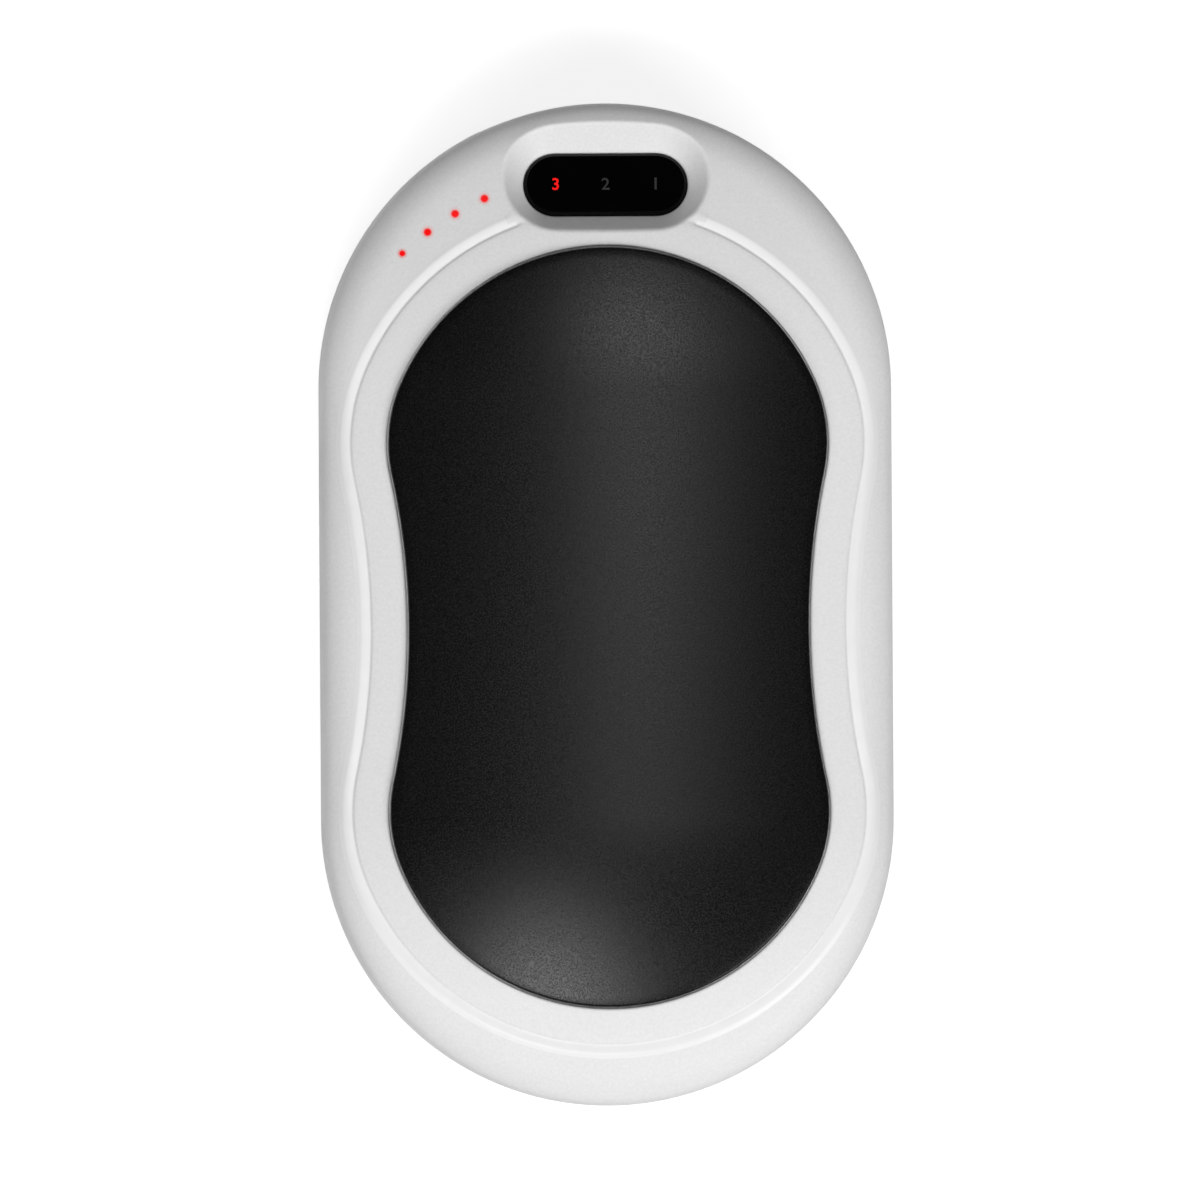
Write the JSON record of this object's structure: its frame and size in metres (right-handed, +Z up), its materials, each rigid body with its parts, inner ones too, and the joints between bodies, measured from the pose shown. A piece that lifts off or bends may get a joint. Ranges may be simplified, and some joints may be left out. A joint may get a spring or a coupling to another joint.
{
  "type": "rechargeable hand warmer",
  "caption": "Stadium-shaped pocket hand warmer with a domed hourglass heat plate on each face, a recessed display window, charge dots, a side button and end sockets.",
  "frame": {"origin": "centre of the case's outline, on the surface that the flat rear land lies on", "axes": "+X across the case, +Y along it towards the display end, +Z up through the front face"},
  "size_m": [0.0628, 0.1099, 0.0272],
  "materials": {
    "case_white": "fine-textured white ABS",
    "button_white": "fine-textured white ABS",
    "plate_black": "satin black coated aluminium sheet",
    "window_black": "polished smoked acrylic",
    "dot_red": "clear polycarbonate, lit red",
    "gasket_black": "double-sided foam tape",
    "film_amber": "polyimide heater film",
    "foam_grey": "closed-cell insulating foam",
    "sensor_black": "chip thermistor",
    "baffle_white": "white moulded light box",
    "led_clear": "surface-mount light sources",
    "board_green": "glass-epoxy board with solder mask",
    "chip_black": "moulded chip package",
    "ferrite_grey": "shielded ferrite inductor",
    "ceramic_tan": "ceramic capacitors",
    "socket_steel": "nickel-plated folded steel",
    "tongue_black": "moulded contact carrier",
    "switch_black": "moulded tact switch",
    "spring_steel": "stamped spring-steel dome",
    "cell_sleeve": null,
    "nickel": "pure nickel strip",
    "lead_insulation": "silicone-insulated lead",
    "cradle_grey": "moulded ABS",
    "screw_steel": "black-zinc steel screw"
  },
  "bodies": {
    "case": {"front_housing": "case_white", "rear_housing": "case_white", "front_heat_plate": "plate_black", "rear_heat_plate": "plate_black", "display_lens": "window_black", "charge_light_guide": "dot_red", "front_plate_gasket": "gasket_black", "rear_plate_gasket": "gasket_black", "front_heater_film": "film_amber", "rear_heater_film": "film_amber", "front_insulator": "foam_grey", "rear_insulator": "foam_grey", "thermistor": "sensor_black", "display_light_box": "baffle_white", "display_leds": "led_clear", "charge_leds": "led_clear", "main_board": "board_green", "controller_chip": "chip_black", "power_inductor": "ferrite_grey", "board_capacitors": "ceramic_tan", "usb_output_shell": "socket_steel", "charge_inlet_shell": "socket_steel", "usb_output_tongue": "tongue_black", "charge_inlet_tongue": "tongue_black", "switch_body": "switch_black", "switch_dome": "spring_steel", "left_cell": "cell_sleeve", "right_cell": "cell_sleeve", "positive_strip": "nickel", "negative_strip": "nickel", "negative_lead": "lead_insulation", "front_heater_leads": "lead_insulation", "rear_heater_leads": "lead_insulation", "cell_cradle": "cradle_grey", "housing_screws": "screw_steel", "board_screws": "screw_steel"},
    "button": {"power_button": "button_white", "switch_plunger": "switch_black"}
  },
  "joints": [
    {"name": "button_press", "type": "slide", "parent": "case", "child": "button", "axis": [-0.9613, -0.2756, 0], "range_m": [0, 0.0004], "stiffness_N_per_m": 1500, "springref_m": -0.0003, "deforming": ["switch_dome"]}
  ]
}
